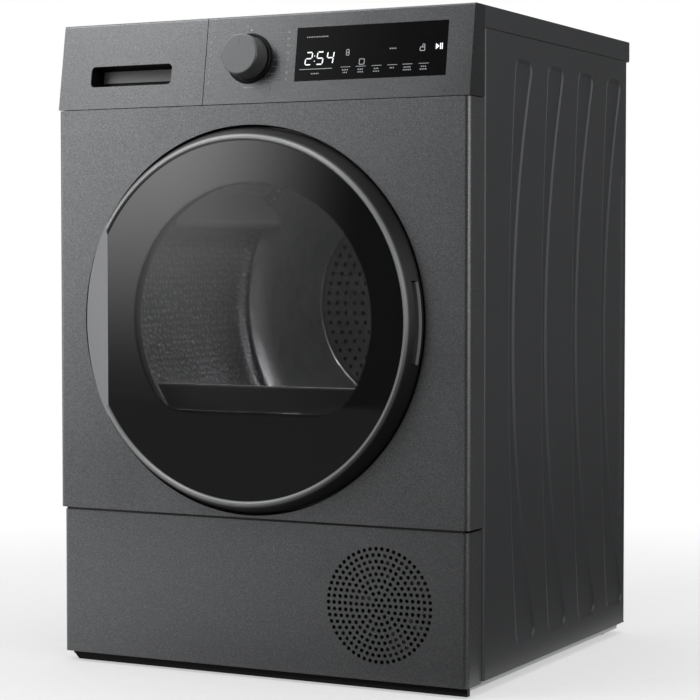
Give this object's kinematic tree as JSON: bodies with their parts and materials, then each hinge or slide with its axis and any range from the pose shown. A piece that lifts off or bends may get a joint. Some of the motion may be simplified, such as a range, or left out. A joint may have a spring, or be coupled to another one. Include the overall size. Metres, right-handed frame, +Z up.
{
  "type": "clothes dryer",
  "caption": "Free-standing condenser tumble dryer with a round glazed door, water tank drawer, leaning control fascia with a knob and display, and a vented lower cover.",
  "frame": {"origin": "on the floor, under the centre of the overall box", "axes": "+X to the machine's right as seen from the front, +Y to the back, +Z up"},
  "size_m": [0.6, 0.6, 0.85],
  "materials": {
    "dark_paint": "metallic satin",
    "dark_trim": "metallic satin",
    "door_trim": "metallic gloss",
    "tinted_glass": "polished",
    "clear_glass": "polished",
    "display_black": "polished",
    "knob_silver": "metallic satin",
    "black_plastic": "satin",
    "grey_plastic": "satin",
    "board_green": "satin",
    "rubber_black": "matte",
    "gasket_grey": "matte",
    "zinc_steel": "galvanised",
    "drum_steel": "embossed",
    "turned_steel": "turned",
    "felt": "matte",
    "motor_iron": "painted",
    "idler_nylon": "satin",
    "compressor_black": "painted",
    "exchanger_aluminium": "satin",
    "copper": "satin"
  },
  "bodies": {
    "cabinet": {"left_side_panel": "dark_paint", "right_side_panel": "dark_paint", "front_panel": "dark_paint", "top_plate": "dark_paint", "control_fascia": "dark_trim", "lower_front_cover": "dark_trim", "display_window": "display_black", "knob_bezel": "black_plastic", "plinth_strip": "black_plastic", "blower_housing": "black_plastic", "cooling_fan_housing": "black_plastic", "drain_pump": "black_plastic", "mains_inlet": "black_plastic", "door_lock": "black_plastic", "base_tray": "grey_plastic", "tank_shelf": "grey_plastic", "control_board": "board_green", "drive_belt": "rubber_black", "rear_panel": "zinc_steel", "rear_duct_cover": "zinc_steel", "front_bulkhead": "zinc_steel", "rear_bulkhead": "zinc_steel", "motor_bracket": "zinc_steel", "hinge_bracket": "zinc_steel", "air_inlet_plate": "drum_steel", "roller_axles": "turned_steel", "drum_felt_seals": "felt", "drive_motor": "motor_iron", "compressor": "compressor_black", "evaporator": "exchanger_aluminium", "condenser": "exchanger_aluminium", "refrigerant_pipes": "copper"},
    "door": {"door_ring": "door_trim", "door_glass": "tinted_glass", "door_inner_frame": "black_plastic", "door_inner_window": "clear_glass", "door_gasket": "gasket_grey", "hinge_arm": "zinc_steel", "hinge_pin": "turned_steel", "latch_hook": "black_plastic"},
    "tank_drawer": {"tank_drawer_front": "dark_trim", "water_tank": "grey_plastic", "tank_lid": "grey_plastic"},
    "program_knob": {"program_knob": "knob_silver"},
    "drum": {"drum": "drum_steel", "drum_lifters": "grey_plastic"},
    "motor_rotor": {"motor_shaft": "turned_steel", "blower_wheel": "black_plastic"},
    "tensioner_arm": {"tensioner_arm": "zinc_steel"},
    "idler_pulley": {"idler_pulley": "idler_nylon"},
    "cooling_fan_wheel": {"cooling_fan_wheel": "black_plastic"},
    "lint_filter": {"lint_filter": "grey_plastic"},
    "roller_front_left": {"roller_front_left": "rubber_black"},
    "foot_front_left": {"foot_front_left": "rubber_black"},
    "roller_front_right": {"roller_front_right": "rubber_black"},
    "foot_front_right": {"foot_front_right": "rubber_black"},
    "roller_back_left": {"roller_back_left": "rubber_black"},
    "foot_back_left": {"foot_back_left": "rubber_black"},
    "roller_back_right": {"roller_back_right": "rubber_black"},
    "foot_back_right": {"foot_back_right": "rubber_black"}
  },
  "joints": [
    {"name": "door_hinge", "type": "hinge", "parent": "cabinet", "child": "door", "pos_m": [-0.241, -0.2795, 0.46], "axis": [0, 0, -1], "range_deg": [0, 100]},
    {"name": "tank_slide", "type": "slide", "parent": "cabinet", "child": "tank_drawer", "axis": [0, -1, 0], "range_m": [0, 0.4]},
    {"name": "knob_turn", "type": "hinge", "parent": "cabinet", "child": "program_knob", "pos_m": [-0.011, -0.26737, 0.79435], "axis": [0, -0.9889, 0.1488], "continuous": true},
    {"name": "drum_spin", "type": "hinge", "parent": "cabinet", "child": "drum", "pos_m": [0, 0, 0.474], "axis": [0, 1, 0], "continuous": true},
    {"name": "rotor_spin", "type": "hinge", "parent": "cabinet", "child": "motor_rotor", "pos_m": [0.06, 0, 0.115], "axis": [0, 1, 0], "continuous": true},
    {"name": "tensioner_swing", "type": "hinge", "parent": "cabinet", "child": "tensioner_arm", "pos_m": [0.005, 0, 0.07], "axis": [0, -1, 0], "range_deg": [0, 5], "stiffness_Nm_per_rad": 8, "springref_deg": -5.73},
    {"name": "idler_spin", "type": "hinge", "parent": "tensioner_arm", "child": "idler_pulley", "pos_m": [0, 0, 0.128], "axis": [0, 1, 0], "continuous": true},
    {"name": "fan_spin", "type": "hinge", "parent": "cabinet", "child": "cooling_fan_wheel", "pos_m": [0.176, 0, 0.1066], "axis": [0, 1, 0], "continuous": true},
    {"name": "filter_slide", "type": "slide", "parent": "cabinet", "child": "lint_filter", "axis": [0, 0, 1], "range_m": [0, 0.15]},
    {"name": "roller_front_left_spin", "type": "hinge", "parent": "cabinet", "child": "roller_front_left", "pos_m": [-0.18919, 0, 0.23184], "axis": [0, 1, 0], "continuous": true},
    {"name": "roller_front_right_spin", "type": "hinge", "parent": "cabinet", "child": "roller_front_right", "pos_m": [0.18919, 0, 0.23184], "axis": [0, 1, 0], "continuous": true},
    {"name": "roller_back_left_spin", "type": "hinge", "parent": "cabinet", "child": "roller_back_left", "pos_m": [-0.18919, 0, 0.23184], "axis": [0, 1, 0], "continuous": true},
    {"name": "roller_back_right_spin", "type": "hinge", "parent": "cabinet", "child": "roller_back_right", "pos_m": [0.18919, 0, 0.23184], "axis": [0, 1, 0], "continuous": true},
    {"name": "foot_front_left_height", "type": "slide", "parent": "cabinet", "child": "foot_front_left", "axis": [0, 0, -1], "range_m": [0, 0.012]},
    {"name": "foot_front_right_height", "type": "slide", "parent": "cabinet", "child": "foot_front_right", "axis": [0, 0, -1], "range_m": [0, 0.012]},
    {"name": "foot_back_left_height", "type": "slide", "parent": "cabinet", "child": "foot_back_left", "axis": [0, 0, -1], "range_m": [0, 0.012]},
    {"name": "foot_back_right_height", "type": "slide", "parent": "cabinet", "child": "foot_back_right", "axis": [0, 0, -1], "range_m": [0, 0.012]}
  ],
  "couplings": [
    {"joint": "rotor_spin", "follows": "drum_spin", "ratio": 35.625},
    {"joint": "idler_spin", "follows": "drum_spin", "ratio": -20.357},
    {"joint": "roller_front_left_spin", "follows": "drum_spin", "ratio": -12.954},
    {"joint": "roller_front_right_spin", "follows": "drum_spin", "ratio": -12.954},
    {"joint": "roller_back_left_spin", "follows": "drum_spin", "ratio": -12.954},
    {"joint": "roller_back_right_spin", "follows": "drum_spin", "ratio": -12.954}
  ]
}
